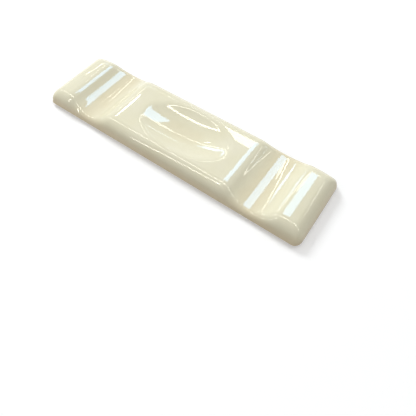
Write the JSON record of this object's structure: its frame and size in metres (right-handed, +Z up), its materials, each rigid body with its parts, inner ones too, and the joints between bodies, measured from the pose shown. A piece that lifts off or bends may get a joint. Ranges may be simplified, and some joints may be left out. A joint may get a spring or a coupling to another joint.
{
  "type": "brush rest",
  "caption": "Glazed ceramic brush rest: a low bar with a groove across each end and a shallow oval dish between.",
  "frame": {"origin": "middle of the footprint, at the height of the table", "axes": "+X along the bar, +Y across it along the grooves, +Z up"},
  "size_m": [0.1, 0.027, 0.006],
  "materials": {
    "bare_clay": "unglazed, dry",
    "cream_glaze": "gloss",
    "thin_glaze": "gloss"
  },
  "bodies": {
    "root": {"clay_body": "bare_clay", "glaze_coat": "cream_glaze", "hollow_glaze": "thin_glaze"}
  },
  "joints": []
}
